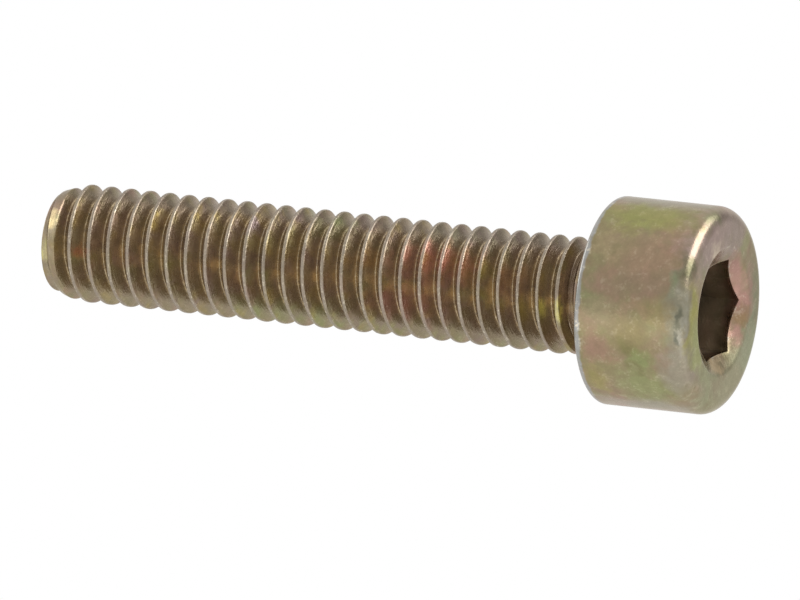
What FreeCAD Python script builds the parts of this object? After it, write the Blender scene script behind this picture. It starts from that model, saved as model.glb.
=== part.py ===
import FreeCAD, Part

import math
import os

# Socket head cap screw, M4 x 20, threaded up to the head, modelled as the one solid it is forged and rolled from.
# Frame: the origin is the centre of the bearing face under the head. +Z runs along the shank to the tip.
# The screw stands on the outer face of its head, as it does when it is set down on a bench.
# All sizes are in millimetres, and angles are in degrees.

# Head
head_diameter = 6.87
head_height = 3.9
face_edge_radius = 0.54  # rounding between the head's side and its outer face
bearing_edge_radius = 0.15  # small rounding between the head's side and the bearing face
underhead_radius = 0.2  # fillet between the bearing face and the neck

# Hexagon socket in the outer face of the head
socket_across_flats = 3.08
socket_depth = 2.1  # from the outer face down to the end of the flat walls
socket_floor_angle = 120.0  # included angle of the shallow cone that the punch leaves
socket_turn = 15.8  # where the first corner points, from +X
mouth_diameter = 4.28  # rim of the countersunk mouth, wider than the hexagon's corners
mouth_angle = 120.0  # included angle of the mouth

# Shank, measured from the bearing face
shank_length = 19.9
neck_diameter = 3.5  # the wire that the thread is rolled on, left plain under the head
neck_length = 0.5
rise_length = 0.8  # from the neck, the crests rise to full height over this length
runout_length = 0.8  # and the groove sinks to full depth over this one
tip_diameter = 3.27
tip_length = 0.9  # the tapered lead at the tip

# Thread
thread_diameter = 3.88
thread_pitch = 0.7
flank_angle = 60.0
crest_flat = thread_pitch / 8
root_flat = thread_pitch / 6
thread_phase = 0.026  # height of a crest at +X above the bearing face, less whole pitches
sections_per_turn = 21

head_radius = head_diameter / 2
neck_radius = neck_diameter / 2
tip_radius = tip_diameter / 2
thread_radius = thread_diameter / 2
flank_slope = math.tan(math.radians(flank_angle / 2))
thread_depth = (thread_pitch - crest_flat - root_flat) / (2 * flank_slope)
root_radius = thread_radius - thread_depth
overlap = 0.1  # how far solids reach into each other before they are joined


def point(radius, height, turns=0.0):
    """A point at a radius and height, in the half plane that is turned from +X by that many turns."""
    angle = 2 * math.pi * turns
    return FreeCAD.Vector(radius * math.cos(angle), radius * math.sin(angle), height)


def lines(points):
    return [Part.LineSegment(a, b).toShape() for a, b in zip(points, points[1:])]


def revolved(edges):
    """The solid that a closed half profile in the XZ plane sweeps around the Z axis."""
    face = Part.Face(Part.Wire(Part.__sortEdges__(edges)))
    return face.revolve(FreeCAD.Vector(0, 0, 0), FreeCAD.Vector(0, 0, 1), 360)


def quarter_arc(centre, radius, from_angle):
    """A quarter circle in the XZ plane that turns from +X towards +Z, in two pieces, and its two ends."""
    stops = [
        centre + point(radius * math.cos(a), radius * math.sin(a))
        for a in (math.radians(from_angle + 22.5 * i) for i in range(5))
    ]
    pieces = [Part.Arc(*stops[0:3]).toShape(), Part.Arc(*stops[2:5]).toShape()]
    return pieces, stops[0], stops[4]


def head():
    """The head with its neck, which tapers on inside the thread and so makes the groove run out."""
    outer_arc, face_end, side_start = quarter_arc(
        point(head_radius - face_edge_radius, face_edge_radius - head_height),
        face_edge_radius,
        270,
    )
    bearing_arc, side_end, bearing_start = quarter_arc(
        point(head_radius - bearing_edge_radius, -bearing_edge_radius),
        bearing_edge_radius,
        0,
    )
    fillet, neck_start, bearing_end = quarter_arc(
        point(neck_radius + underhead_radius, underhead_radius),
        underhead_radius,
        180,
    )
    neck_end = neck_length + overlap / 2
    runout_slope = (neck_radius - root_radius) / runout_length
    inner_end = neck_end + runout_length + overlap / runout_slope
    core = [
        neck_start,
        point(neck_radius, neck_end),
        point(root_radius - overlap, inner_end),
        point(0, inner_end),
        point(0, -head_height),
        face_end,
    ]
    side = [side_start, side_end]
    bearing = [bearing_start, bearing_end]
    arcs = [*outer_arc, *bearing_arc, *fillet]
    return revolved([*arcs, *lines(core), *lines(side), *lines(bearing)])


def socket():
    """The space of the hexagon socket: flat walls, a shallow conical floor and a countersunk mouth."""
    corner_radius = socket_across_flats / 2 / math.cos(math.radians(30))
    floor_depth = corner_radius / math.tan(math.radians(socket_floor_angle / 2))
    mouth_radius = mouth_diameter / 2
    mouth_depth = mouth_radius / math.tan(math.radians(mouth_angle / 2))
    face_height = -head_height
    corners = [
        point(corner_radius, face_height, socket_turn / 360 + i / 6) for i in range(7)
    ]
    walls = Part.Face(Part.makePolygon(corners)).extrude(
        FreeCAD.Vector(0, 0, socket_depth + floor_depth)
    )
    punch = Part.makeCylinder(corner_radius + overlap, socket_depth, point(0, face_height))
    floor = Part.makeCone(
        corner_radius, 0, floor_depth, point(0, face_height + socket_depth)
    )
    mouth = Part.makeCone(mouth_radius, 0, mouth_depth, point(0, face_height))
    return walls.common(punch.fuse(floor)).fuse(mouth)


def end_cap(apex, edge, section):
    """The faces that close an end of the rod: a fan over the last turn's edge, and the step where it ends."""
    fan = [Part.Face(Part.makePolygon([apex, a, b, apex])) for a, b in zip(edge, edge[1:])]
    return [*fan, Part.Face(Part.makePolygon([apex, *section, apex]))]


def threaded_rod():
    """A right-hand threaded rod that reaches past both ends of the shank.

    It is a ruled loft through half sections of one pitch that climb that pitch in a turn.
    """
    half_pitch = thread_pitch / 2
    half_root = root_flat / 2
    half_crest = crest_flat / 2
    outline = [
        (root_radius, half_root - half_pitch),
        (thread_radius, -half_crest),
        (thread_radius, half_crest),
        (root_radius, half_pitch - half_root),
        (root_radius, half_pitch + half_root),
    ]
    last = (math.ceil(shank_length / thread_pitch) + 1) * sections_per_turn
    sections = []
    for i in range(-sections_per_turn, last + 1):
        turns = i / sections_per_turn
        height = thread_phase + thread_pitch * turns
        sections.append([point(radius, height + h, turns) for radius, h in outline])
    strips = Part.makeLoft([Part.makePolygon(s) for s in sections], False, True)
    low_edge = [s[0] for s in sections[: sections_per_turn + 1]]
    high_edge = [s[-1] for s in sections[-sections_per_turn - 1 :]]
    low_cap = end_cap(point(0, low_edge[0].z), low_edge, sections[0])
    high_cap = end_cap(point(0, high_edge[-1].z), high_edge, sections[-1])
    shell = Part.Shell([*strips.Faces, *low_cap, *high_cap])
    shell.sewShape()
    return Part.Solid(shell)


def shank_envelope():
    """What bounds the thread: the rise of the crests at the neck, and the taper and flat end of the tip."""
    rise_slope = (thread_radius - neck_radius) / rise_length
    tip_slope = (thread_radius - tip_radius) / tip_length
    start = neck_length - overlap / rise_slope
    outside = thread_radius + overlap
    corners = [
        point(0, start),
        point(neck_radius - overlap, start),
        point(outside, neck_length + rise_length + overlap / rise_slope),
        point(outside, shank_length - tip_length - overlap / tip_slope),
        point(tip_radius, shank_length),
        point(0, shank_length),
        point(0, start),
    ]
    return revolved(lines(corners))


def cap_screw():
    shank = threaded_rod().common(shank_envelope())
    return head().cut(socket()).fuse(shank)


if __name__ == "__main__":
    os.makedirs("parts", exist_ok=True)
    screw = cap_screw()
    screw.exportStep("parts/cap_screw.step")
    print("valid", screw.isValid(), "solids", len(screw.Solids), "volume", round(screw.Volume, 3))
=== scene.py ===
"""The looks of a socket head cap screw with yellow chromated zinc plating.

Lengths are in metres, but in millimetres in the table of blooms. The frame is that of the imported
part: the origin is the centre of the bearing face under the head, +Z runs along the shank to the
tip, and the screw stands on the outer face of its head. The photograph shows the screw lying
across the picture, so the camera looks along +Y with +X nearly upright.
"""

import logging
import math
from collections.abc import Callable, Iterable, Sequence
from dataclasses import dataclass
from enum import Enum
from functools import partial

import bmesh
import bpy
from mathutils import Matrix, Quaternion, Vector

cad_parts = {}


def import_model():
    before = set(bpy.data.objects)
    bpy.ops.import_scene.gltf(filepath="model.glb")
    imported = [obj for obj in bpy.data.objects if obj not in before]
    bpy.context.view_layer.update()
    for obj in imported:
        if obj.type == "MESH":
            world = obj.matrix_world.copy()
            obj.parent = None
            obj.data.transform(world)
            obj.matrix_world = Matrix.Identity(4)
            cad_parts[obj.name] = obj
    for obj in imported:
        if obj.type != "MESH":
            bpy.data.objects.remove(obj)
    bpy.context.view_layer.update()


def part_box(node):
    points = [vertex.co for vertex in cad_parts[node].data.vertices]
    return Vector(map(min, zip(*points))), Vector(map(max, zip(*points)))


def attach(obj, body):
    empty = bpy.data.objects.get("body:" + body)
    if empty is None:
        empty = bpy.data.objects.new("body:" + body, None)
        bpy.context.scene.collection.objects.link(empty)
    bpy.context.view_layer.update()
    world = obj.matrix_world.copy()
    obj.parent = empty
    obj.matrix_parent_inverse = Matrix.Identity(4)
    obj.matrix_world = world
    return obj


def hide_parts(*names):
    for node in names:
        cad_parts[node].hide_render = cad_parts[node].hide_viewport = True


log = logging.getLogger("cap_screw")

MM = 0.001
CAD_NODE = "cap_screw"
BODY = "root"
FRAME_WIDTH = 800
SENSOR_WIDTH_MM = 36.0
TOUCHING = 0.001 * MM  # points that are nearer than this lie in one place
NOISE_MIDDLE = 0.5  # the level that a noise varies about
SOCKET_FLOOR = 2.0  # the groove trait's value on the socket's floor, where a thread's root has 1

Colour = tuple[float, float, float]
NodeSocket = bpy.types.NodeSocket
Outline = list[tuple[float, float]]
Range = tuple[float, float]
Vertices = list[bmesh.types.BMVert]


class Trait(Enum):
    """What a point of the surface carries for the finish, stored as a named attribute."""

    EDGE = "edge"
    GROOVE = "groove"
    ACROSS = "across"


@dataclass(frozen=True)
class Scalar:
    """A number that a node tree works out, to be used in sums like a plain number."""

    tree: bpy.types.NodeTree
    socket: NodeSocket

    def math(self, operation: str, *others: "Scalar | float") -> "Scalar":
        """Adds one Math node.

        Args:
            operation: the node's operation.
            others: its second and third inputs.

        Returns:
            The node's output.
        """
        node = self.tree.nodes.new("ShaderNodeMath")
        node.operation = operation
        for port, value in zip(node.inputs, (self, *others)):
            join(self.tree, value, port)
        return Scalar(self.tree, node.outputs[0])

    def __add__(self, other: "Scalar | float") -> "Scalar":
        """The sum."""
        return self.math("ADD", other)

    def __sub__(self, other: "Scalar | float") -> "Scalar":
        """The difference."""
        return self.math("SUBTRACT", other)

    def __rsub__(self, other: float) -> "Scalar":
        """The difference from a plain number."""
        return self * -1 + other

    def __mul__(self, other: "Scalar | float") -> "Scalar":
        """The product."""
        return self.math("MULTIPLY", other)

    def __truediv__(self, other: "Scalar | float") -> "Scalar":
        """The quotient."""
        return self.math("DIVIDE", other)

    def at_most(self, other: "Scalar | float") -> "Scalar":
        """The smaller of the two."""
        return self.math("MINIMUM", other)

    def at_least(self, other: "Scalar | float") -> "Scalar":
        """The larger of the two."""
        return self.math("MAXIMUM", other)

    def between(self, low: "Scalar | float", high: "Scalar | float") -> "Scalar":
        """The number, kept from low to high."""
        return self.at_least(low).at_most(high)

    def ramp(self, start: float, end: float) -> "Scalar":
        """How far the number has come from start to end, from 0 to 1."""
        return ((self - start) / (end - start)).between(0.0, 1.0)


@dataclass(frozen=True)
class Cloud:
    """Noise with so many features to a millimetre, moved to its own part of the pattern."""

    scale: float
    detail: float
    shift: float = 0.0


def join(tree: bpy.types.NodeTree, value: object, port: NodeSocket) -> None:
    """Feeds a node's input.

    Args:
        tree: the tree that the node is in.
        value: a Scalar, an output socket, or a plain value.
        port: the input socket.
    """
    if isinstance(value, Scalar):
        tree.links.new(value.socket, port)
    elif isinstance(value, NodeSocket):
        tree.links.new(value, port)
    else:
        port.default_value = value


def next_node(tree: bpy.types.NodeTree, geometry: NodeSocket, kind: str) -> bpy.types.Node:
    """Adds a node that takes in a geometry.

    Args:
        tree: the tree to add to.
        geometry: the output that gives the geometry.
        kind: the type of the node.

    Returns:
        The node.
    """
    node = tree.nodes.new(kind)
    tree.links.new(geometry, node.inputs["Geometry"])
    return node


def wound(radius: Scalar, angle: Scalar, height: Scalar) -> NodeSocket:
    """Works out a point round the Z axis.

    Args:
        radius: its distance from the axis.
        angle: its direction in radians, from +X.
        height: its place along the axis.

    Returns:
        The point.
    """
    node = radius.tree.nodes.new("ShaderNodeCombineXYZ")
    join(radius.tree, radius * angle.math("COSINE"), node.inputs["X"])
    join(radius.tree, radius * angle.math("SINE"), node.inputs["Y"])
    join(radius.tree, height, node.inputs["Z"])
    return node.outputs[0]


def arc(centre: tuple[float, float], radius: float, start: float, turn: float, steps: int) -> Outline:
    """Points of an arc in a half plane through the Z axis.

    Args:
        centre: the radius and height of its centre.
        radius: its own radius.
        start: the direction of its first point in degrees, from outward towards +Z.
        turn: how far it turns in degrees.
        steps: the number of its steps.

    Returns:
        The radius and height of each point, first to last.
    """
    turns = [math.radians(start + turn * i / steps) for i in range(steps + 1)]
    return [(centre[0] + radius * math.cos(a), centre[1] + radius * math.sin(a)) for a in turns]


def levels(low: float, high: float, steps: int) -> list[float]:
    """Evenly spaced numbers between low and high, without those two."""
    return [low + (high - low) * i / steps for i in range(1, steps)]


def seen(red: int, green: int, blue: int) -> Colour:
    """The linear colour that shows as this one on a screen, each part from 0 to 255."""
    parts = (red / 255, green / 255, blue / 255)
    return tuple(v / 12.92 if v <= 0.04045 else ((v + 0.055) / 1.055) ** 2.4 for v in parts)


def bearing(vertex: bmesh.types.BMVert) -> float:
    """The direction of a vertex round the Z axis."""
    return math.atan2(vertex.co.y, vertex.co.x)


def stitch(bm: bmesh.types.BMesh, first: Vertices, second: Vertices) -> None:
    """Fills the band between two rings of vertices round the Z axis with triangles.

    Args:
        bm: the mesh that both rings are in.
        first: the vertices of one ring, in any order.
        second: those of the other, as many or not.
    """
    rings = [sorted(first, key=bearing), sorted(second, key=bearing)]
    at = [0, 0]
    while at[0] < len(rings[0]) or at[1] < len(rings[1]):
        turned = [math.inf, math.inf]
        for side, ring in enumerate(rings):
            if at[side] < len(ring):
                lap, place = divmod(at[side] + 1, len(ring))
                turned[side] = bearing(ring[place]) + 2 * math.pi * lap
        side = 0 if turned[0] <= turned[1] else 1
        here = [ring[i % len(ring)] for ring, i in zip(rings, at)]
        ahead = rings[side][(at[side] + 1) % len(rings[side])]
        bm.faces.new((*here, ahead))
        at[side] += 1


def open_ring(bm: bmesh.types.BMesh, height: float) -> Vertices:
    """The vertices of the mesh's open edges that lie at a height."""
    found = {v for e in bm.edges if e.is_boundary for v in e.verts}
    return [v for v in found if abs(v.co.z - height) < TOUCHING]


@dataclass(frozen=True)
class ThreadedShank:
    """The shank: a plain neck, a right-hand thread that rises out of it, and a tapered tip."""

    length: float
    pitch: float = 0.7 * MM
    crest_radius: float = 1.945 * MM
    root_radius: float = 1.477 * MM
    crest_width: float = 0.1 * MM
    flank_angle: float = 60.0
    rounding: float = 0.055 * MM
    first_crest: float = 0.026 * MM
    neck_radius: float = 1.75 * MM
    neck_length: float = 0.5 * MM
    rise_length: float = 0.8 * MM
    runout_length: float = 0.8 * MM
    tip_radius: float = 1.635 * MM
    tip_length: float = 0.9 * MM
    tip_rounding: float = 0.13 * MM
    fade_length: float = 0.45 * MM
    wear: float = 0.006 * MM
    steps_per_turn: int = 72
    steps_per_pitch: int = 32
    cut_tolerance: float = 1e-9

    # How much the profile's points gather where it bends, from 0, evenly spaced, to 1
    gather: float = 0.5

    # The noise that nicks the crests, and how far it rises above its middle
    chatter: Cloud = Cloud(2.2, 3.0)
    chatter_rise: float = 0.25

    # The outermost of so many parts of the thread's depth is its edge, and 1 / root_reach of the
    # depth, from the root outwards, is its groove
    edge_parts: int = 6
    root_reach: float = 1.15

    def sizes(self) -> dict[str, float | int]:
        """Works out what the thread's tree is given.

        Returns:
            The tree's named inputs and their values.
        """
        turns_below = 1
        turns = math.ceil(self.length / self.pitch) + turns_below + 1
        return {
            "Pitch": self.pitch,
            "Turns": turns,
            "Steps per turn": self.steps_per_turn,
            "Steps per pitch": self.steps_per_pitch,
            "Start height": self.first_crest - turns_below * self.pitch,
            "Crest radius": self.crest_radius,
            "Root radius": self.root_radius,
            "Crest width": self.crest_width,
            "Rounding": self.rounding,
            "Neck radius": self.neck_radius,
            "Neck length": self.neck_length,
            "Rise length": self.rise_length,
            "Run-out length": self.runout_length,
            "Tip radius": self.tip_radius,
            "Tip length": self.tip_length,
            "Tip rounding": self.tip_rounding,
            "Fade length": self.fade_length,
            "Shank length": self.length,
            "Wear": self.wear,
        }

    def flat_grid(self, size: dict[str, Scalar]) -> tuple[NodeSocket, Scalar, Scalar]:
        """Adds the flat grid that the tree winds up, with a turn to each metre of its length.

        Args:
            size: the tree's named inputs.

        Returns:
            The mesh, the turns up to a point of it, and the point's place across one pitch.
        """
        tree = size["Turns"].tree
        grid = tree.nodes.new("GeometryNodeMeshGrid")
        join(tree, size["Turns"], grid.inputs["Size X"])
        grid.inputs["Size Y"].default_value = 1.0
        join(tree, size["Turns"] * size["Steps per turn"] + 1, grid.inputs["Vertices X"])
        join(tree, size["Steps per pitch"] + 1, grid.inputs["Vertices Y"])
        place = tree.nodes.new("ShaderNodeSeparateXYZ")
        tree.links.new(tree.nodes.new("GeometryNodeInputPosition").outputs[0], place.inputs[0])
        turned = Scalar(tree, place.outputs["X"]) + size["Turns"] / 2
        return grid.outputs["Mesh"], turned, Scalar(tree, place.outputs["Y"])

    def flanks(self, size: dict[str, Scalar], from_crest: Scalar) -> Scalar:
        """Draws the thread's own profile, with rounded crests and roots.

        Args:
            size: the tree's named inputs.
            from_crest: the distance along the axis from the middle of the crest.

        Returns:
            The radius.
        """
        flank_fall = 1 / math.tan(math.radians(self.flank_angle / 2))
        past_flat = from_crest.math("ABSOLUTE") - size["Crest width"] / 2
        flank = size["Crest radius"] - past_flat * flank_fall
        crest = flank.math("SMOOTH_MIN", size["Crest radius"], size["Rounding"])
        return crest.math("SMOOTH_MAX", size["Root radius"], size["Rounding"] * 2)

    def run_out(self, size: dict[str, Scalar], groove: Scalar, height: Scalar) -> Scalar:
        """Lets the thread rise out of the neck, and fade shortly before the tip.

        Args:
            size: the tree's named inputs.
            groove: the radius of the full thread.
            height: the height above the bearing face.

        Returns:
            The radius.
        """
        above_neck = height - size["Neck length"]
        rise = (size["Crest radius"] - size["Neck radius"]) / size["Rise length"]
        fall = (size["Neck radius"] - size["Root radius"]) / size["Run-out length"]
        ceiling = size["Neck radius"] + (above_neck * rise).at_least(0.0)
        bottom = size["Neck radius"] - (above_neck * fall).at_least(0.0)
        lead = (size["Tip radius"] - size["Root radius"]) / size["Fade length"]
        faded = size["Tip radius"] - (size["Shank length"] - height) * lead
        return groove.at_most(ceiling).at_least(bottom).at_least(faded)

    def tipped(self, size: dict[str, Scalar], body: Scalar, before_end: Scalar) -> Scalar:
        """Tapers the thread at the tip, and rounds the tip's edge.

        Args:
            size: the tree's named inputs.
            body: the radius without the taper.
            before_end: the distance to the end of the shank.

        Returns:
            The radius.
        """
        slope = (size["Crest radius"] - size["Tip radius"]) / size["Tip length"]
        taper = size["Tip radius"] + before_end * slope
        into_round = ((size["Tip rounding"] - before_end) / size["Tip rounding"]).between(0.0, 1.0)
        curl = (1 - into_round * into_round).math("SQRT")
        end = taper - size["Tip rounding"] * (1 - curl)
        return body.math("SMOOTH_MIN", end, size["Rounding"])

    def tree(self) -> bpy.types.NodeTree:
        """Writes the geometry nodes that wind a profile of one pitch up the shank.

        Returns:
            The tree, with a named input for each size and one for the material.
        """
        tree = bpy.data.node_groups.new("right_hand_thread", "GeometryNodeTree")
        for name, value in self.sizes().items():
            kind = "NodeSocketInt" if isinstance(value, int) else "NodeSocketFloat"
            tree.interface.new_socket(name, in_out="INPUT", socket_type=kind)
        tree.interface.new_socket("Material", in_out="INPUT", socket_type="NodeSocketMaterial")
        tree.interface.new_socket("Geometry", in_out="OUTPUT", socket_type="NodeSocketGeometry")
        given = tree.nodes.new("NodeGroupInput").outputs
        size = {name: Scalar(tree, given[name]) for name in self.sizes()}
        geometry, turned, across = self.flat_grid(size)

        wave = 4 * math.pi  # two waves to a pitch, one at the crest and one at the root
        from_crest = size["Pitch"] * (across - (across * wave).math("SINE") * (self.gather / wave))
        height = size["Start height"] + size["Pitch"] * turned + from_crest
        before_end = size["Shank length"] - height
        angle = turned * (2 * math.pi)
        body = self.run_out(size, self.flanks(size, from_crest), height)
        radius = self.tipped(size, body, before_end)

        share = (radius - size["Root radius"]) / (size["Crest radius"] - size["Root radius"])
        # The crests' outer band: nicked below as wear, and stored as the edge trait that the finish paints
        # with rubbed film and painted highlight lines
        worn_and_highlight = (share * self.edge_parts - (self.edge_parts - 1)).between(0.0, 1.0)
        sunk = (1 - share * self.root_reach).between(0.0, 1.0)
        chatter = tree.nodes.new("ShaderNodeTexNoise")
        join(tree, wound(radius, angle, height), chatter.inputs["Vector"])
        chatter.inputs["Scale"].default_value = self.chatter.scale / MM
        chatter.inputs["Detail"].default_value = self.chatter.detail
        nick = (Scalar(tree, chatter.outputs[0]) - NOISE_MIDDLE).at_least(0.0) * size["Wear"] * worn_and_highlight
        nicked = radius - nick / self.chatter_rise

        # The traits are worked out from the flat grid, so they are stored before its points move
        kept = (before_end / size["Tip rounding"]).between(0.0, 1.0)
        for trait, value in ((Trait.EDGE, worn_and_highlight), (Trait.GROOVE, sunk), (Trait.ACROSS, from_crest)):
            store = next_node(tree, geometry, "GeometryNodeStoreNamedAttribute")
            store.data_type = "FLOAT"
            store.domain = "POINT"
            store.inputs["Name"].default_value = trait.value
            join(tree, value * kept, store.inputs["Value"])
            geometry = store.outputs[0]
        shaped = next_node(tree, geometry, "GeometryNodeSetPosition")
        join(tree, wound(nicked, angle, height), shaped.inputs["Position"])

        merge = next_node(tree, shaped.outputs[0], "GeometryNodeMergeByDistance")
        merge.inputs["Distance"].default_value = TOUCHING
        real = next_node(tree, merge.outputs[0], "GeometryNodeRealizeInstances")
        coat = next_node(tree, real.outputs[0], "GeometryNodeSetMaterial")
        tree.links.new(given["Material"], coat.inputs["Material"])
        next_node(tree, coat.outputs[0], "NodeGroupOutput")
        return tree

    def wind(self, material: bpy.types.Material) -> bpy.types.Mesh:
        """Runs the tree on an empty guide.

        Args:
            material: the finish that the tree sets.

        Returns:
            The thread as a plain mesh, longer than the shank.
        """
        tree = self.tree()
        guide = bpy.data.objects.new("thread_guide", bpy.data.meshes.new("thread_guide"))
        bpy.context.scene.collection.objects.link(guide)
        modifier = guide.modifiers.new("thread", "NODES")
        modifier.node_group = tree
        values = {**self.sizes(), "Material": material}
        for item in tree.interface.items_tree:
            if item.in_out == "INPUT":
                modifier[item.identifier] = values[item.name]
        bpy.context.view_layer.update()
        evaluated = guide.evaluated_get(bpy.context.evaluated_depsgraph_get())
        mesh = bpy.data.meshes.new_from_object(evaluated)
        guide.modifiers.remove(modifier)
        bpy.data.objects.remove(guide)
        return mesh

    def build(self, material: bpy.types.Material, foot: float) -> bpy.types.Mesh:
        """Winds the thread and cuts it to length.

        Args:
            material: its finish.
            foot: the height in the neck where the shank is cut off square.

        Returns:
            A mesh that is open at the foot and closed at the tip.
        """
        mesh = self.wind(material)
        bm = bmesh.new()
        bm.from_mesh(mesh)
        for height, outward in ((foot, -1), (self.length, 1)):
            everything = [*bm.verts, *bm.edges, *bm.faces]
            bmesh.ops.bisect_plane(
                bm,
                geom=everything,
                dist=self.cut_tolerance,
                plane_co=(0, 0, height),
                plane_no=(0, 0, outward),
                clear_outer=True,
            )
        rim = sorted(open_ring(bm, self.length), key=bearing)
        middle = bm.verts.new((0, 0, self.length))
        for here, ahead in zip(rim, rim[1:] + rim[:1]):
            bm.faces.new((here, ahead, middle))
        bm.to_mesh(mesh)
        bm.free()
        return mesh


@dataclass(frozen=True)
class Ring:
    """A closed line of the surface round the Z axis, and the traits that its points carry."""

    place: Callable[[float], tuple[float, float]]
    edge: float = 0.0
    groove: float = 0.0

    @classmethod
    def circle(cls, radius: float, height: float, edge: float = 0.0) -> "Ring":
        """A plain circle of the turned outline."""
        return cls(lambda _: (radius, height), edge)

    def build(self, bm: bmesh.types.BMesh, angles: Sequence[float]) -> Vertices:
        """Adds the ring's vertices.

        Args:
            bm: the mesh to add to, which has a layer for each trait.
            angles: the directions in which they lie.

        Returns:
            The vertices, in that order.
        """
        edge = bm.verts.layers.float[Trait.EDGE.value]
        groove = bm.verts.layers.float[Trait.GROOVE.value]
        made = []
        for angle in angles:
            radius, height = self.place(angle)
            vertex = bm.verts.new((radius * math.cos(angle), radius * math.sin(angle), height))
            vertex[edge] = self.edge
            vertex[groove] = self.groove
            made.append(vertex)
        return made


@dataclass(frozen=True)
class HexSocket:
    """The hexagon socket in the head's face: a countersunk mouth, flat walls and a shallow conical floor."""

    face: float
    across_flats: float = 3.08 * MM
    depth: float = 2.1 * MM
    floor_angle: float = 120.0
    turn: float = 15.8
    mouth_radius: float = 2.14 * MM
    mouth_angle: float = 120.0
    mouth_rounding: float = 0.06 * MM
    wall_rounding: float = 0.025 * MM

    # How far the cone starts inside the rim, and how much the lip leans, as shares of roundings
    rim_inset: float = 0.6
    lip_fall: float = 0.3

    # Where the rings lie, as shares of the way or degrees round the lip
    cone_shares: tuple[float, ...] = (0.0, 0.12, 0.35, 0.6, 0.85)
    lip_turns: tuple[int, ...] = (0, 30, 60, 90)
    wall_shares: tuple[float, ...] = (0.04, 0.12, 0.25, 0.5, 0.75, 1.0)
    floor_shares: tuple[float, ...] = (0.97, 0.7, 0.4, 0.12)

    # The traits of its parts, where the wall's is the one at its top
    cone_wear: float = 0.15
    lip_wear: float = 0.4
    lip_groove: float = 0.1
    wall_groove: float = 0.3

    def wall(self, angle: float) -> float:
        """The distance of the hexagon's wall from the axis, in a direction round the Z axis."""
        from_flat = (angle - math.radians(self.turn)) % math.radians(60) - math.radians(30)
        return self.across_flats / 2 / math.cos(from_flat)

    def mouth_depth(self, radius: float) -> float:
        """How far the mouth's cone lies below the head's face at a radius."""
        return (self.mouth_radius - radius) / math.tan(math.radians(self.mouth_angle / 2))

    def floor_depth(self, radius: float) -> float:
        """How far the floor's cone lies below the head's face at a radius."""
        corner = self.across_flats / 2 / math.cos(math.radians(30))
        return self.depth + (corner - radius) / math.tan(math.radians(self.floor_angle / 2))

    def cone(self, share: float, angle: float) -> tuple[float, float]:
        """A point of the mouth.

        Args:
            share: how far it lies from the mouth's rim towards the hexagon.
            angle: its direction round the Z axis.

        Returns:
            Its radius and height.
        """
        rim = self.mouth_radius - self.mouth_rounding * self.rim_inset
        radius = rim + (self.wall(angle) + self.wall_rounding - rim) * share
        return radius, self.face + self.mouth_depth(radius)

    def lip(self, turn: int, angle: float) -> tuple[float, float]:
        """A point of the rounded edge between the mouth and the walls.

        Args:
            turn: how far it lies round the edge, in degrees.
            angle: its direction round the Z axis.

        Returns:
            Its radius and height.
        """
        radius = self.wall(angle)
        soft = self.wall_rounding
        across = soft * (1 - math.sin(math.radians(turn)))
        down = soft * (1 - math.cos(math.radians(turn)))
        height = self.face + self.mouth_depth(radius + soft) + down + across * self.lip_fall
        return radius + across, height

    def side(self, share: float, angle: float) -> tuple[float, float]:
        """A point of the flat walls.

        Args:
            share: how far it lies down the wall.
            angle: its direction round the Z axis.

        Returns:
            Its radius and height.
        """
        radius = self.wall(angle)
        top = self.mouth_depth(radius) + 2 * self.wall_rounding
        return radius, self.face + top + (self.floor_depth(radius) - top) * share

    def bottom(self, share: float, angle: float) -> tuple[float, float]:
        """A point of the conical floor.

        Args:
            share: how far it lies from the middle towards the wall.
            angle: its direction round the Z axis.

        Returns:
            Its radius and height.
        """
        radius = self.wall(angle) * share
        return radius, self.face + self.floor_depth(radius)

    def rings(self) -> list[Ring]:
        """Lists the rings of the socket's surface, from the mouth's rim to near the floor's middle.

        Returns:
            The rings.
        """
        cones = [Ring(partial(self.cone, share), self.cone_wear) for share in self.cone_shares]
        lips = [Ring(partial(self.lip, turn), self.lip_wear, self.lip_groove) for turn in self.lip_turns]
        deeper = SOCKET_FLOOR - self.wall_groove
        sides = [
            Ring(partial(self.side, share), groove=self.wall_groove + deeper * share)
            for share in self.wall_shares
        ]
        floors = [Ring(partial(self.bottom, share), groove=SOCKET_FLOOR) for share in self.floor_shares]
        return [*cones, *lips, *sides, *floors]


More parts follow.
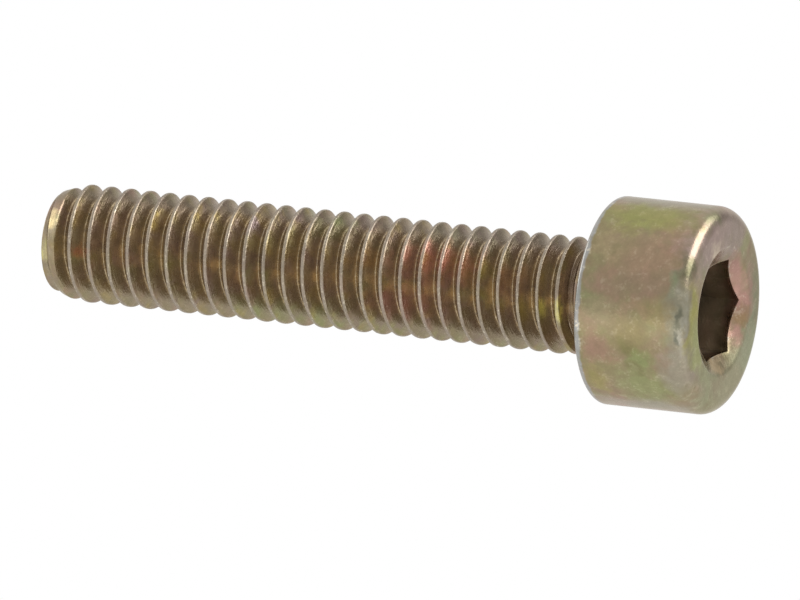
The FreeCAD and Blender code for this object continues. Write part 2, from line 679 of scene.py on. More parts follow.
@dataclass(frozen=True)
class Head:
    """The smooth cylindrical head, from a cut through the neck to the socket's floor."""

    radius: float
    socket: HexSocket
    face_rounding: float = 0.54 * MM
    bearing_rounding: float = 0.15 * MM
    fillet: float = 0.2 * MM
    fillet_steps: int = 6
    bearing_face_steps: int = 5
    bearing_edge_steps: int = 7
    side_steps: int = 14
    shoulder_steps: int = 14
    face_steps: int = 6
    stations_per_flat: int = 26

    # The edge trait at the bearing face's edge, which gives rubbed film and a painted highlight line there,
    # and where it has faded: inward and down in roundings
    bearing_wear_and_highlight: float = 1.1
    edge_mark_inward: float = 0.3
    edge_mark_down: float = 2.0

    # The points of the mouth's rim: out and up in roundings, and wear
    rim: tuple[tuple[float, float, float], ...] = ((1.0, 0.0, 0.2), (0.4, 0.06, 0.4), (-0.15, 0.18, 0.4))

    def profile(self, neck_radius: float, foot: float) -> list[Ring]:
        """Draws the turned outline, from the neck round the head to the mouth of the socket.

        Args:
            neck_radius: the radius of the neck.
            foot: the height where the shank starts.

        Returns:
            A ring for each point of it.
        """
        face = self.socket.face
        corner = self.bearing_rounding
        flat_start = neck_radius + self.fillet
        flat_end = self.radius - corner
        side_start = -self.edge_mark_down * corner
        side_end = face + self.face_rounding
        face_start = self.radius - self.face_rounding
        soft = self.socket.mouth_rounding
        face_end = self.socket.mouth_radius + soft

        outline: Outline = [(neck_radius, foot)]
        outline += arc((flat_start, self.fillet), self.fillet, 180, 90, self.fillet_steps)
        outline += [(r, 0.0) for r in levels(flat_start, flat_end, self.bearing_face_steps)]
        outline += [(flat_end - self.edge_mark_inward * corner, 0.0)]
        rings = [Ring.circle(r, z) for r, z in outline]
        edge = arc((flat_end, -corner), corner, 90, -90, self.bearing_edge_steps)
        rings += [Ring.circle(r, z, self.bearing_wear_and_highlight) for r, z in edge]
        outline = [(self.radius, side_start)]
        outline += [(self.radius, z) for z in levels(side_start, side_end, self.side_steps)]
        outline += arc((face_start, side_end), self.face_rounding, 0, -90, self.shoulder_steps)
        outline += [(r, face) for r in levels(face_start, face_end, self.face_steps)]
        rings += [Ring.circle(r, z) for r, z in outline]
        for out, up, wear in self.rim:
            rings.append(Ring.circle(self.socket.mouth_radius + out * soft, face + up * soft, wear))
        return rings

    def build(self, bm: bmesh.types.BMesh, neck_radius: float, foot: float) -> Vertices:
        """Turns the outline and adds the socket.

        Args:
            bm: the mesh to add to, which has a layer for each trait.
            neck_radius: the radius of the neck.
            foot: the height where the shank starts.

        Returns:
            The vertices of the open ring at the foot.
        """
        count = 6 * self.stations_per_flat
        angles = [math.radians(self.socket.turn + 360 * i / count) for i in range(count)]
        rings = [*self.profile(neck_radius, foot), *self.socket.rings()]
        built = [ring.build(bm, angles) for ring in rings]
        for outer, inner in zip(built, built[1:]):
            for i in range(count):
                bm.faces.new((outer[i], outer[i - 1], inner[i - 1], inner[i]))
        pole = bm.verts.new((0, 0, self.socket.face + self.socket.floor_depth(0.0)))
        pole[bm.verts.layers.float[Trait.GROOVE.value]] = SOCKET_FLOOR
        for i in range(count):
            bm.faces.new((built[-1][i], built[-1][i - 1], pole))
        return built[0]


@dataclass(frozen=True)
class FilmOrLightPatch:
    """A cloud of another colour at one place, in degrees and millimetres: a patch of the film's own colour,
    painted light or shade, or both.

    Its colour is given as it shows on a screen.
    """

    angle: float
    height: float
    radius: float
    spread: float
    along: float
    colour: tuple[int, int, int]
    share: float = 0.8
    depth: float = 1.0

    def centre(self) -> Vector:
        """Works out the middle of the cloud.

        Returns:
            The point, in metres.
        """
        turn = math.radians(self.angle)
        out = self.radius * MM
        return Vector((out * math.cos(turn), out * math.sin(turn), self.height * MM))

    def per_metre(self) -> tuple[float, float, float]:
        """How many of its sizes go into a metre: in depth, across and along the axis."""
        return 1 / (self.depth * MM), 1 / (self.spread * MM), 1 / (self.along * MM)


HEAD_SIDE = 3.4
HEAD_RIM = 3.2
FACE = 2.6
SHANK = 1.8
# Each patch takes the colour seen at its place as the camera sees the screw lit. Besides the film's own
# colours, many patches carry painted light and shade, and some, marked below, are only painted light and
# shade.
FILM_AND_LIGHT_PATCHES = (
    # Long bands of the shank: painted shade and painted light, darker towards the top and bottom of the
    # thread and next to the head and lighter near its middle, as the thread is lit, and a painted highlight
    # along its roots
    FilmOrLightPatch(326, 10.0, SHANK, 0.8, 16.0, (128, 109, 96), 0.7),
    FilmOrLightPatch(261, 10.0, 1.5, 0.5, 16.0, (226, 196, 140), 0.8, 0.2),
    FilmOrLightPatch(282, 10.0, SHANK, 0.8, 16.0, (172, 154, 133), 0.7),
    FilmOrLightPatch(230, 10.0, SHANK, 0.7, 16.0, (138, 122, 102), 0.6),
    FilmOrLightPatch(342, 3.6, SHANK, 0.8, 3.4, (126, 112, 97), 0.8),
    FilmOrLightPatch(212, 3.2, SHANK, 0.8, 3.0, (132, 119, 97), 0.8),
    # The head's side: patches of the film's colours whose lightness follows the lit and shaded bands across
    # the head, so partly painted light and shade
    FilmOrLightPatch(327, -1.6, HEAD_SIDE, 1.0, 2.0, (150, 150, 92)),
    FilmOrLightPatch(348, -1.4, HEAD_SIDE, 0.8, 3.0, (158, 154, 138), 0.6),
    FilmOrLightPatch(294, -2.4, HEAD_SIDE, 0.9, 1.5, (164, 137, 114), 0.6),
    FilmOrLightPatch(279, -2.1, HEAD_SIDE, 0.5, 2.2, (150, 128, 108), 0.6),
    FilmOrLightPatch(262, -0.9, HEAD_SIDE, 0.5, 1.0, (172, 144, 124), 0.3),
    FilmOrLightPatch(266, -2.9, HEAD_SIDE, 0.5, 0.9, (162, 146, 104), 0.4),
    FilmOrLightPatch(300, -0.8, HEAD_SIDE, 0.6, 0.6, (168, 152, 118), 0.6),
    FilmOrLightPatch(242, -0.8, HEAD_SIDE, 0.6, 0.6, (158, 129, 110), 0.8),
    FilmOrLightPatch(250, -2.0, HEAD_SIDE, 0.7, 0.8, (148, 136, 98), 0.8),
    FilmOrLightPatch(244, -1.9, HEAD_SIDE, 0.4, 0.45, (128, 124, 84), 0.7),
    FilmOrLightPatch(236, -2.35, HEAD_SIDE, 0.45, 0.6, (136, 148, 96), 0.7),
    FilmOrLightPatch(220, -2.2, HEAD_SIDE, 1.0, 1.3, (146, 150, 106), 0.8),
    FilmOrLightPatch(231, -2.0, HEAD_SIDE, 0.25, 0.4, (130, 126, 88), 0.7),
    FilmOrLightPatch(220, -0.65, HEAD_SIDE, 0.6, 0.5, (154, 146, 96), 0.8),
    FilmOrLightPatch(197, -2.0, HEAD_SIDE, 0.6, 2.2, (162, 158, 144), 0.6),
    # The head's rounding and the near side of its face, their lightness also set to the lit and shaded bands
    # there, so partly painted light and shade
    FilmOrLightPatch(232, -3.7, HEAD_RIM, 1.4, 0.8, (158, 150, 136), 0.7),
    FilmOrLightPatch(268, -3.7, HEAD_RIM, 1.7, 0.45, (146, 143, 124), 0.8),
    FilmOrLightPatch(266, -3.9, 2.55, 1.5, 0.6, (160, 156, 84), 0.9, 0.4),
    FilmOrLightPatch(236, -3.9, 2.4, 1.2, 0.6, (160, 162, 110), 0.9, 0.4),
    # The rest of the outer face
    FilmOrLightPatch(330, -3.9, FACE, 2.4, 1.0, (165, 145, 138), 0.9),
    FilmOrLightPatch(150, -3.9, FACE, 2.3, 1.0, (162, 158, 128), 0.9),
    FilmOrLightPatch(80, -3.9, FACE, 1.7, 1.0, (138, 138, 110), 0.9),
    FilmOrLightPatch(10, -3.9, 2.4, 1.1, 0.6, (158, 143, 134), 0.8),
    FilmOrLightPatch(29, -3.9, 2.7, 0.4, 0.4, (154, 154, 112), 0.7),
    FilmOrLightPatch(112, -3.9, 2.6, 1.1, 0.5, (158, 164, 134), 0.7),
    FilmOrLightPatch(200, -3.9, 2.6, 1.0, 0.5, (160, 164, 130), 0.6),
    # The mouth of the socket
    FilmOrLightPatch(75, -3.6, 1.8, 1.5, 0.4, (174, 135, 124), 0.9),
    FilmOrLightPatch(32, -3.7, 1.8, 0.7, 0.4, (171, 134, 123), 0.9, 0.5),
    # Painted light: lightens the mouth's upper side where it lies in shade
    FilmOrLightPatch(326, -3.78, 1.75, 0.6, 0.5, (206, 190, 168), 0.9, 0.8),
    FilmOrLightPatch(94, -3.78, 1.93, 0.5, 0.4, (148, 124, 90), 0.8, 0.4),
    FilmOrLightPatch(114, -3.75, 1.87, 0.4, 0.3, (170, 132, 120), 0.8, 0.4),
    # A painted glint on the mouth's lower side
    FilmOrLightPatch(172, -3.75, 1.75, 0.6, 0.4, (206, 184, 146), 0.9, 0.4),
    # The head's rounding again, near the face
    FilmOrLightPatch(256, -3.85, 3.15, 1.5, 0.2, (160, 156, 142), 0.8, 0.2),
    FilmOrLightPatch(266, -3.64, 3.36, 0.5, 0.1, (116, 115, 98), 1.0, 0.3),
    FilmOrLightPatch(252, -3.71, 3.32, 0.45, 0.1, (116, 115, 100), 1.0, 0.3),
    # Painted shade: tones down and yellows the upper end of the lamp's highlight on the rounding
    FilmOrLightPatch(336, -3.75, 3.25, 0.7, 0.35, (146, 143, 112), 0.9, 0.4),
    # Painted shade: darkens the rounding where the lamp's highlight should end
    FilmOrLightPatch(294, -3.72, 3.25, 0.5, 0.35, (112, 108, 84), 1.0, 0.4),
    FilmOrLightPatch(284, -3.5, 3.4, 0.5, 0.25, (138, 142, 112), 0.9, 0.4),
    # Patches of the shank
    FilmOrLightPatch(292, 5.5, SHANK, 0.8, 1.9, (200, 146, 128), 0.85),
    FilmOrLightPatch(286, 8.2, SHANK, 0.5, 0.5, (176, 146, 98), 0.8),
    FilmOrLightPatch(286, 4.0, SHANK, 0.45, 0.4, (154, 152, 92), 0.8),
    FilmOrLightPatch(282, 2.9, SHANK, 0.5, 0.7, (174, 142, 108), 0.7),
    FilmOrLightPatch(240, 6.6, SHANK, 0.8, 1.8, (162, 126, 112), 0.8),
    FilmOrLightPatch(196, 7.6, SHANK, 0.7, 3.4, (146, 142, 98), 0.7),
    FilmOrLightPatch(204, 11.0, SHANK, 0.6, 2.8, (142, 148, 98), 0.6),
    FilmOrLightPatch(192, 16.0, SHANK, 0.7, 4.0, (148, 136, 108), 0.7),
    FilmOrLightPatch(328, 9.6, SHANK, 0.5, 0.9, (142, 146, 98), 0.8),
    FilmOrLightPatch(330, 5.2, SHANK, 0.6, 2.0, (142, 138, 112), 0.6),
    FilmOrLightPatch(300, 12.0, SHANK, 0.8, 2.0, (160, 148, 100), 0.6),
    FilmOrLightPatch(311, 12.6, SHANK, 0.5, 0.5, (160, 142, 150), 0.7),
    FilmOrLightPatch(310, 14.1, SHANK, 0.5, 0.5, (178, 158, 92), 0.7),
    FilmOrLightPatch(303, 15.9, SHANK, 0.5, 0.4, (178, 158, 92), 0.7),
    # Painted glints on crests at the tip and under the head, and a reddish patch at the tip
    FilmOrLightPatch(259, 18.3, 1.6, 0.3, 0.35, (182, 124, 100), 0.8, 0.5),
    FilmOrLightPatch(293, 19.5, 1.75, 0.3, 0.3, (238, 216, 160), 0.9, 0.5),
    FilmOrLightPatch(256, 19.7, 1.65, 0.4, 0.25, (206, 202, 128), 0.8, 0.5),
    FilmOrLightPatch(252, 1.2, 1.9, 0.5, 0.16, (238, 228, 140), 1.0, 0.3),
)


@dataclass(frozen=True)
class Layer:
    """A colour of the film, which covers what is below from nothing at low to its share at high."""

    colour: Colour
    low: float
    high: float
    share: float = 1.0

    def cover(self, measure: Scalar) -> Scalar:
        """How much of the layer lies where a measure has this value."""
        return measure.ramp(self.low, self.high) * self.share


@dataclass(frozen=True)
class Tint(Layer):
    """A layer that gathers in clouds of its own, with edges that the mottle may break."""

    cloud: Cloud = Cloud(1.0, 4.0)
    mottled: float = 0.0


@dataclass(frozen=True)
class Paint:
    """Writes the nodes of a finish, in the coordinates of the piece."""

    tree: bpy.types.NodeTree
    where: NodeSocket

    def vector(self, operation: str, *inputs: object) -> bpy.types.ShaderNode:
        """Adds one Vector Math node.

        Args:
            operation: the node's operation.
            inputs: what goes into it.

        Returns:
            The node.
        """
        node = self.tree.nodes.new("ShaderNodeVectorMath")
        node.operation = operation
        for port, value in zip(node.inputs, inputs):
            join(self.tree, value, port)
        return node

    def noise(self, cloud: Cloud, w: Scalar | None = None) -> bpy.types.ShaderNode:
        """Adds one noise.

        Args:
            cloud: what it looks like.
            w: a fourth coordinate, if there is one.

        Returns:
            The node.
        """
        node = self.tree.nodes.new("ShaderNodeTexNoise")
        shift = (cloud.shift, -cloud.shift, 0.5 * cloud.shift)
        moved = self.vector("MULTIPLY_ADD", self.where, (1 / MM,) * 3, shift)
        self.tree.links.new(moved.outputs[0], node.inputs["Vector"])
        node.inputs["Scale"].default_value = cloud.scale
        node.inputs["Detail"].default_value = cloud.detail
        if w is not None:
            node.noise_dimensions = "4D"
            join(self.tree, w, node.inputs["W"])
        return node

    def level(self, cloud: Cloud, w: Scalar | None = None) -> Scalar:
        """The value of a noise."""
        return Scalar(self.tree, self.noise(cloud, w).outputs[0])

    def trait(self, kind: Trait) -> Scalar:
        """Reads what the surface carries.

        Args:
            kind: the trait to read.

        Returns:
            Its value.
        """
        node = self.tree.nodes.new("ShaderNodeAttribute")
        node.attribute_name = kind.value
        return Scalar(self.tree, node.outputs["Fac"])

    def mixed(self, share: Scalar, below: object, above: object) -> NodeSocket:
        """Lays one colour over another.

        Args:
            share: how much the upper one covers.
            below: the colour below.
            above: the colour above.

        Returns:
            The colour that shows.
        """
        node = self.tree.nodes.new("ShaderNodeMix")
        node.data_type = "RGBA"
        join(self.tree, share, node.inputs[0])
        # Inputs 6 and 7 are the two colours, because those named A and B come first as numbers
        for port, value in ((node.inputs[6], below), (node.inputs[7], above)):
            join(self.tree, (*value, 1.0) if isinstance(value, tuple) else value, port)
        return node.outputs[2]


@dataclass(frozen=True)
class Surface:
    """What the finish goes by at each point of the screw, and the writer of its nodes."""

    paint: Paint
    edge: Scalar
    groove: Scalar
    on_shank: Scalar
    in_root: Scalar
    in_socket: Scalar
    mottle: Scalar
    grain: Scalar
    streak: Scalar


@dataclass(frozen=True)
class YellowZinc:
    """Yellow chromated zinc: a dull gold film with olive, green and pink tints, rubbed pale at the edges,
    with painted highlight lines on the edges and in the roots, painted shade in the socket, and patches of
    painted light and shade.
    """

    gold: Colour = seen(154, 137, 110)
    olive: Tint = Tint(seen(149, 139, 104), 0.42, 0.62, 1.0, Cloud(0.7, 3.0, 2.0))
    green: Tint = Tint(seen(144, 146, 106), 0.63, 0.78, 0.7, Cloud(0.75, 4.0, 11.0), 0.2)
    pink: Tint = Tint(seen(164, 133, 115), 0.62, 0.78, 0.8, Cloud(0.8, 4.0, 23.0), 0.2)
    film_and_light_patches: tuple[FilmOrLightPatch, ...] = FILM_AND_LIGHT_PATCHES
    mauve: Tint = Tint(seen(142, 120, 114), 0.52, 0.66, 0.6, Cloud(1.2, 4.0, 53.0))
    yellow: Tint = Tint(seen(172, 152, 92), 0.55, 0.68, 0.5, Cloud(1.0, 4.0, 67.0))
    grey: Layer = Layer(seen(156, 141, 124), 0.1, 0.6, 0.5)
    # Painted shade: darkens the socket's walls and floor deeper in
    painted_socket_shade: Layer = Layer(seen(137, 128, 112), 1.0, 1.4, 0.9)
    # Painted highlight: a lighter line along the thread's roots, where light catches them
    root: Layer = Layer(seen(186, 162, 118), 0.36, 0.62, 0.8)
    glint: Layer = Layer(seen(226, 216, 192), 0.6, 0.72)
    rim_tint: Colour = (0.84, 0.81, 0.78)

    # What shows on edges, where the film is rubbed through and where a highlight line is painted: this
    # layer's colour on the shank, and a silvery grey on the head
    worn_and_highlight: Layer = Layer(seen(158, 147, 134), 0.45, 0.95, 0.75)
    silver_wear_and_highlight: Colour = seen(170, 172, 174)

    # The noises that the layers share, and how each lightens or darkens the colour
    mottle: Cloud = Cloud(3.2, 5.0)
    mottle_shade: float = 0.35
    grain: Cloud = Cloud(11.0, 4.0, 7.0)
    grain_shade: float = 0.2
    streak: Cloud = Cloud(2.6, 3.0, 17.0)
    streak_shade: float = 0.25
    streak_across: float = 22 / MM

    # The patches' edges wander by up to half this length, and the mottle breaks them
    wander: Cloud = Cloud(1.3, 3.0, 41.0)
    wander_length: float = 1.1 * MM
    patch_edge: Range = (-0.75, 0.0)
    patch_mottle: float = 0.8

    # Where the shank, a root and the socket's inside begin, by height and by the groove trait
    shank_start: Range = (0.0, 0.5 * MM)
    root_start: Range = (0.8, 1.0)
    inside_start: Range = (0.3, 0.8)

    # How the noises break the painted highlight lines in the roots, the rubbed and highlighted edges and the
    # glints
    root_grain: float = 0.7
    worn_and_highlight_streak: float = 1.6
    glint_grain: float = 0.8
    glint_on_edges: float = 0.5
    glint_in_roots: float = 0.4
    glint_elsewhere: float = 0.1

    # Roughness, more of it on the rolled shank and in the punched socket
    roughness: float = 0.24
    mottle_roughness: float = 0.2
    rolled: float = 0.03
    punched: float = 0.25

    # The relief of the film, deeper on the shank's edges and in its roots
    relief_height: float = 0.01 * MM
    relief_strength: float = 0.4
    mottle_relief: float = 0.4
    edge_relief: float = 3.0
    root_relief: float = 1.5
    shank_relief: float = 0.3

    def surface(self, paint: Paint) -> Surface:
        """Reads the traits and the noises.

        Args:
            paint: the writer of the nodes.

        Returns:
            What the finish goes by.
        """
        groove = paint.trait(Trait.GROOVE)
        parts = paint.tree.nodes.new("ShaderNodeSeparateXYZ")
        paint.tree.links.new(paint.where, parts.inputs[0])
        on_shank = Scalar(paint.tree, parts.outputs["Z"]).ramp(*self.shank_start)
        return Surface(
            paint=paint,
            edge=paint.trait(Trait.EDGE),
            groove=groove,
            on_shank=on_shank,
            in_root=groove.ramp(*self.root_start) * on_shank,
            in_socket=groove.ramp(*self.inside_start) * (1 - on_shank),
            mottle=paint.level(self.mottle),
            grain=paint.level(self.grain),
            streak=paint.level(self.streak, paint.trait(Trait.ACROSS) * self.streak_across),
        )

    def film(self, here: Surface) -> NodeSocket:
        """Lays the film's clouds over the gold, then the patches: the film's own colours, and painted light
        and shade.

        Args:
            here: what the finish goes by.

        Returns:
            The colour.
        """
        paint = here.paint
        colour: object = self.gold
        for tint in (self.olive, self.green, self.pink):
            cover = tint.cover(paint.level(tint.cloud) + here.mottle * tint.mottled)
            colour = paint.mixed(cover, colour, tint.colour)
        length = (self.wander_length,) * 3
        middle = (-self.wander_length / 2,) * 3
        wander = paint.vector("MULTIPLY_ADD", paint.noise(self.wander).outputs["Color"], length, middle)
        drifted = paint.vector("ADD", paint.where, wander.outputs[0]).outputs[0]
        for patch in self.film_and_light_patches:
            away = paint.vector("SUBTRACT", drifted, patch.centre())
            level_with = paint.tree.nodes.new("ShaderNodeVectorRotate")
            level_with.rotation_type = "Z_AXIS"
            level_with.inputs["Angle"].default_value = -math.radians(patch.angle)
            paint.tree.links.new(away.outputs[0], level_with.inputs["Vector"])
            scaled = paint.vector("MULTIPLY", level_with.outputs[0], patch.per_metre())
            reach = Scalar(paint.tree, paint.vector("LENGTH", scaled.outputs[0]).outputs["Value"])
            cover = (here.mottle * self.patch_mottle - reach).ramp(*self.patch_edge) * patch.share
            colour = paint.mixed(cover, colour, seen(*patch.colour))
        for tint in (self.mauve, self.yellow):
            cover = tint.cover(paint.level(tint.cloud)) * here.on_shank
            colour = paint.mixed(cover, colour, tint.colour)
        return colour

    def marked(self, here: Surface, film: NodeSocket) -> NodeSocket:
        """Dulls the film in grooves, darkens the socket's inside with painted shade, and adds painted
        highlight lines in the roots, rubbed edges with painted highlight lines, and glints.

        Args:
            here: what the finish goes by.
            film: the film's colour.

        Returns:
            The colour.
        """
        paint = here.paint
        streak = here.streak - NOISE_MIDDLE
        grain = here.grain - NOISE_MIDDLE
        colour = paint.mixed(self.grey.cover(here.groove), film, self.grey.colour)
        # Painted shade deep in the socket
        colour = paint.mixed(self.painted_socket_shade.cover(here.groove), colour, self.painted_socket_shade.colour)
        # A painted highlight line along the roots
        lined = self.root.cover(here.streak + grain * self.root_grain) * here.in_root
        colour = paint.mixed(lined, colour, self.root.colour)
        # Edges take rubbed film and painted highlight lines at once
        bare_and_highlight = paint.mixed(here.on_shank, self.silver_wear_and_highlight, self.worn_and_highlight.colour)
        colour = paint.mixed(self.worn_and_highlight.cover(here.edge + streak * self.worn_and_highlight_streak), colour, bare_and_highlight)
        often = here.edge * self.glint_on_edges + here.in_root * self.glint_in_roots + self.glint_elsewhere
        glints = self.glint.cover(here.streak + grain * self.glint_grain) * often
        return paint.mixed(glints, colour, self.glint.colour)

    def shaded(self, here: Surface, colour: NodeSocket) -> NodeSocket:
        """Lightens and darkens a colour by the noises.

        Args:
            here: what the finish goes by.
            colour: the colour.

        Returns:
            The varied colour.
        """
        mottle = (here.mottle - NOISE_MIDDLE) * self.mottle_shade
        grain = (here.grain - NOISE_MIDDLE) * self.grain_shade
        streak = (here.streak - NOISE_MIDDLE) * self.streak_shade
        shade = here.paint.vector("SCALE", colour)
        join(here.paint.tree, mottle + grain + streak + 1, shade.inputs["Scale"])
        return shade.outputs[0]

    def relief(self, here: Surface) -> NodeSocket:
        """Roughens the film with fine relief.

        Args:
            here: what the finish goes by.

        Returns:
            The normal.
        """
        bump = here.paint.tree.nodes.new("ShaderNodeBump")
        bump.inputs["Distance"].default_value = self.relief_height
        bump.inputs["Strength"].default_value = self.relief_strength
        deeper = here.edge * self.edge_relief + here.groove * self.root_relief + self.shank_relief
        height = here.grain + here.mottle * self.mottle_relief + here.streak
        join(here.paint.tree, height * (here.on_shank * deeper + 1), bump.inputs["Height"])
        return bump.outputs[0]

    def material(self) -> bpy.types.Material:
        """Writes the finish as shader nodes.

        Returns:
            The material.
        """
        made = bpy.data.materials.new("yellow_zinc")
        made.use_nodes = True
        tree = made.node_tree
        here = self.surface(Paint(tree, tree.nodes.new("ShaderNodeTexCoord").outputs["Object"]))
        colour = self.shaded(here, self.marked(here, self.film(here)))
        varied = (here.mottle - NOISE_MIDDLE) * self.mottle_roughness + here.on_shank * self.rolled
        shader = tree.nodes["Principled BSDF"].inputs
        tree.links.new(colour, shader["Base Color"])
        shader["Metallic"].default_value = 1.0
        shader["Specular Tint"].default_value = (*self.rim_tint, 1.0)
        join(tree, varied + here.in_socket * self.punched + self.roughness, shader["Roughness"])
        tree.links.new(self.relief(here), shader["Normal"])
        return made


@dataclass(frozen=True)
class CapScrew:
    """The whole screw, forged and rolled in one piece."""

    head: Head
    shank: ThreadedShank
    finish: YellowZinc
    name: str = "plated_cap_screw"
    foot_share: float = 0.6
    weld_distance: float = 0.0005 * MM
    sharp_angle: float = 35.0

    def build(self) -> bpy.types.Object:
        """Makes the screw as one closed mesh.

        Returns:
            The object, at the origin.
        """
        material = self.finish.material()
        foot = self.foot_share * self.shank.neck_length
        mesh = self.shank.build(material, foot)
        bm = bmesh.new()
        bm.from_mesh(mesh)
        upper = open_ring(bm, foot)
        lower = self.head.build(bm, self.shank.neck_radius, foot)
        stitch(bm, lower, upper)
        bmesh.ops.remove_doubles(bm, verts=bm.verts, dist=self.weld_distance)
        bmesh.ops.recalc_face_normals(bm, faces=bm.faces)
        bm.to_mesh(mesh)
        bm.free()
        mesh.name = self.name
        mesh.materials.clear()
        mesh.materials.append(material)
        mesh.polygons.foreach_set("material_index", [0] * len(mesh.polygons))
        mesh.shade_smooth()
        mesh.set_sharp_from_angle(angle=math.radians(self.sharp_angle))
        made = bpy.data.objects.new(self.name, mesh)
        bpy.context.scene.collection.objects.link(made)
        return made

    def dress(self, made: bpy.types.Object) -> None:
        """Ties the screw to the frame.

        Args:
            made: the screw's object.
        """
        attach(made, BODY)
        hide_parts(CAD_NODE)


@dataclass(frozen=True)
class PhotoCamera:
    """The photograph's view: from the head's side, with the shank sloping up to the left, in radians."""

    swing: float = 0.4002
    roll: float = 0.1077
    middle_right: float = -7.0082 * MM
    middle_down: float = 0.0047 * MM
    distance: float = 909.1 * MM
    pixels_per_metre: float = 30536.0

    def axes(self) -> tuple[Vector, Vector, Vector]:
        """Works out how the camera is turned.

        Returns:
            The picture's right, its down, and the direction away from the camera, in the row frame.
        """
        right = Vector((
            math.sin(self.roll),
            math.sin(self.swing) * math.cos(self.roll),
            -math.cos(self.swing) * math.cos(self.roll),
        ))
        down = Vector((
            -math.cos(self.roll),
            math.sin(self.swing) * math.sin(self.roll),
            -math.cos(self.swing) * math.sin(self.roll),
        ))
        return right, down, right.cross(down)

    def build(self) -> bpy.types.Object:
        """Makes the camera and looks through it.

        Returns:
            The camera.
        """
        right, down, away = self.axes()
        lens = bpy.data.cameras.new("photo_camera")
        lens.sensor_width = SENSOR_WIDTH_MM
        lens.lens = self.pixels_per_metre * self.distance / FRAME_WIDTH * SENSOR_WIDTH_MM
        made = bpy.data.objects.new("photo_camera", lens)
        turned = Matrix((right, -down, -away)).transposed().to_4x4()
        middle = self.middle_right * right + self.middle_down * down
        made.matrix_world = Matrix.Translation(middle - self.distance * away) @ turned
        bpy.context.scene.collection.objects.link(made)
        bpy.context.scene.camera = made
        return made


@dataclass(frozen=True)
class SoftBox:
    """A soft lamp that faces the middle of the screw."""

    name: str
    direction: tuple[float, float, float]
    width: float
    height: float
    brightness: float
    turn: float = 0.0
    reach: float = 0.4

    def build(self, target: Vector) -> None:
        """Makes the lamp.

        Args:
            target: what it faces.
        """
        lamp = bpy.data.lights.new(self.name, "AREA")
        lamp.shape = "RECTANGLE"
        lamp.size = self.width
        lamp.size_y = self.height
        lamp.energy = self.brightness * math.pi * self.width * self.height
        made = bpy.data.objects.new(self.name, lamp)
        towards = Vector(self.direction).normalized()
        made.location = target + self.reach * towards
        spin = Quaternion((0, 0, 1), math.radians(self.turn))
        made.rotation_euler = (towards.to_track_quat("Z", "Y") @ spin).to_euler()
        made.visible_camera = False
        bpy.context.scene.collection.objects.link(made)


@dataclass(frozen=True)
class Surroundings:
    """The world: a white tent, with the dimmer room above the table on the camera's side.

    A range gives where a part starts and where it is full, as a share of a ray's direction: X is up
    in the picture, Y leads away from the camera and Z to the left, and behind is straight away from
    the camera.
    """

    tent: float = 0.98
    room: float = 0.82
    corner: float = 0.34
    table: float = 1.3
    front_behind: Range = (0.25, -0.45)
    room_x: Range = (-0.24, -0.19)
    table_far_x: Range = (-0.22, -0.34)
    table_near_x: Range = (-0.7, -0.54)
    backdrop_behind: Range = (0.8, 1.0)
    corner_y: Range = (0.4, 0.8)
    corner_z: Range = (0.0, -0.35)
    corner_rise: float = 1.6
    corner_level: float = 0.25
    corner_least: float = 0.2

    def strength(self, tree: bpy.types.NodeTree, away: Vector) -> Scalar:
        """Works out how bright each direction is in reflections and as light.

        Args:
            tree: the world's tree.
            away: the direction away from the camera.

        Returns:
            The strength.
        """
        towards = tree.nodes.new("ShaderNodeTexCoord").outputs["Generated"]
        parts = tree.nodes.new("ShaderNodeSeparateXYZ")
        tree.links.new(towards, parts.inputs[0])
        along = tree.nodes.new("ShaderNodeVectorMath")
        along.operation = "DOT_PRODUCT"
        tree.links.new(towards, along.inputs[0])
        along.inputs[1].default_value = away
        behind = Scalar(tree, along.outputs["Value"])
        x, y, z = (Scalar(tree, part) for part in parts.outputs)
        front = behind.ramp(*self.front_behind)
        in_room = front * x.ramp(*self.room_x)
        lit = front * x.ramp(*self.table_far_x) * x.ramp(*self.table_near_x)
        in_corner = y.ramp(*self.corner_y) * z.ramp(*self.corner_z)
        in_corner = in_corner * (x * self.corner_rise + self.corner_level).between(self.corner_least, 1.0)
        backdrop = behind.ramp(*self.backdrop_behind) * (1 - self.tent)
        level = backdrop + self.tent + lit * (self.table - self.tent)
        return level - in_room * (self.tent - self.room) - in_corner * (self.tent - self.corner)

    def build(self, away: Vector) -> None:
        """Makes the world, which a camera sees plain white.

        Args:
            away: the direction away from the camera.
        """
        world = bpy.data.worlds.new("studio")
        bpy.context.scene.world = world
        world.use_nodes = True
        tree = world.node_tree
        sky = tree.nodes["Background"]
        sky.inputs["Color"].default_value = (1.0, 1.0, 1.0, 1.0)
        rays = tree.nodes.new("ShaderNodeLightPath").outputs
        direct = Scalar(tree, rays["Is Camera Ray"]).at_least(Scalar(tree, rays["Is Transmission Ray"]))
        join(tree, direct.at_least(self.strength(tree, away)), sky.inputs["Strength"])


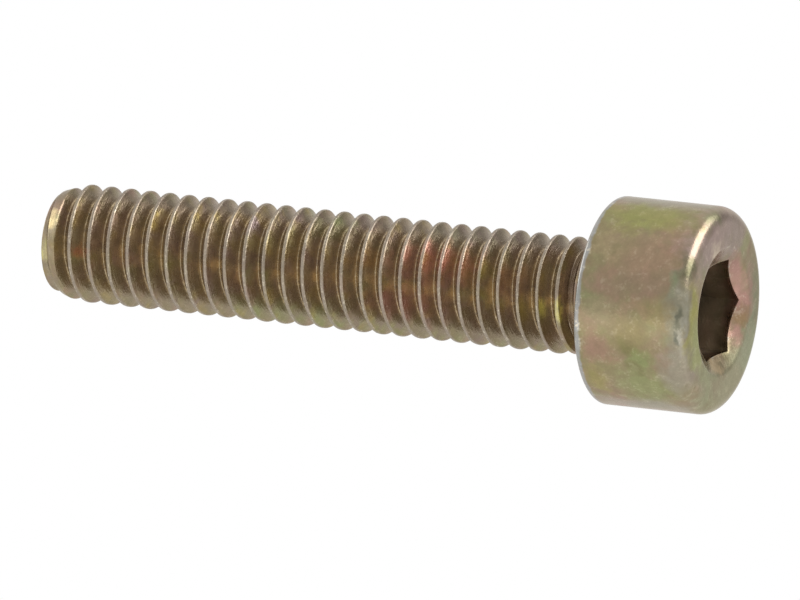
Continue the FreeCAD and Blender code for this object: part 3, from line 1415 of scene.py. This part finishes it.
@dataclass(frozen=True)
class Floor:
    """The pale floor, which only a camera above it sees."""

    size: float = 0.8
    gap: float = 0.02 * MM
    colour: Colour = (0.86, 0.86, 0.86)
    roughness: float = 0.8

    def material(self) -> bpy.types.Material:
        """Writes a matt finish that is clear from below.

        Returns:
            The material.
        """
        made = bpy.data.materials.new("pale_floor")
        made.use_nodes = True
        tree = made.node_tree
        top = tree.nodes["Principled BSDF"]
        top.inputs["Base Color"].default_value = (*self.colour, 1.0)
        top.inputs["Roughness"].default_value = self.roughness
        clear = tree.nodes.new("ShaderNodeBsdfTransparent")
        choice = tree.nodes.new("ShaderNodeMixShader")
        side = tree.nodes.new("ShaderNodeNewGeometry").outputs["Backfacing"]
        tree.links.new(side, choice.inputs[0])
        tree.links.new(top.outputs[0], choice.inputs[1])
        tree.links.new(clear.outputs[0], choice.inputs[2])
        tree.links.new(choice.outputs[0], tree.nodes["Material Output"].inputs["Surface"])
        return made

    def build(self, lowest: float) -> bpy.types.Object:
        """Makes the floor.

        Args:
            lowest: the height where the head stands.

        Returns:
            The floor.
        """
        half = self.size / 2
        height = lowest - self.gap
        mesh = bpy.data.meshes.new("pale_floor")
        outline = [(-half, -half, height), (half, -half, height), (half, half, height), (-half, half, height)]
        mesh.from_pydata(outline, [], [(0, 1, 2, 3)])
        mesh.materials.append(self.material())
        made = bpy.data.objects.new("pale_floor", mesh)
        bpy.context.scene.collection.objects.link(made)
        made.visible_diffuse = False
        made.visible_glossy = False
        made.visible_shadow = False
        return made


@dataclass(frozen=True)
class Studio:
    """White surroundings, soft lamps, a pale floor under the head, and the camera."""

    camera: PhotoCamera
    surroundings: Surroundings
    floor: Floor
    lamps: tuple[SoftBox, ...] = (
        SoftBox("left_box", (0.35, -0.1, 0.93), width=0.20, height=0.20, brightness=1.2),
        SoftBox("right_strip", (0.66, 0.04, -0.75), width=0.32, height=0.25, brightness=3.25, turn=43.0),
        SoftBox("right_end", (0.76, 0.45, -0.45), width=0.14, height=0.18, brightness=1.8, turn=43.0),
    )

    def build(self, lowest: float, target: Vector) -> None:
        """Sets up the studio.

        Args:
            lowest: the height of the screw's lowest point.
            target: the middle of the screw.
        """
        self.surroundings.build(self.camera.axes()[2])
        for lamp in self.lamps:
            lamp.build(target)
        self.floor.build(lowest)
        self.camera.build()


def main() -> None:
    """Builds the screw and the studio, and logs how many faces the screw has."""
    logging.basicConfig(level=logging.INFO, format="%(message)s")
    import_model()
    low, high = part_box(CAD_NODE)
    bpy.context.scene.view_settings.view_transform = "Standard"

    radius = min(-low.x, high.x, -low.y, high.y)
    head = Head(radius=radius, socket=HexSocket(face=low.z))
    shank = ThreadedShank(length=high.z)
    screw = CapScrew(head, shank, YellowZinc())
    made = screw.build()
    screw.dress(made)
    log.info("%s: %d faces", made.name, len(made.data.polygons))

    Studio(PhotoCamera(), Surroundings(), Floor()).build(low.z, (low + high) / 2)


if __name__ == "__main__":
    main()
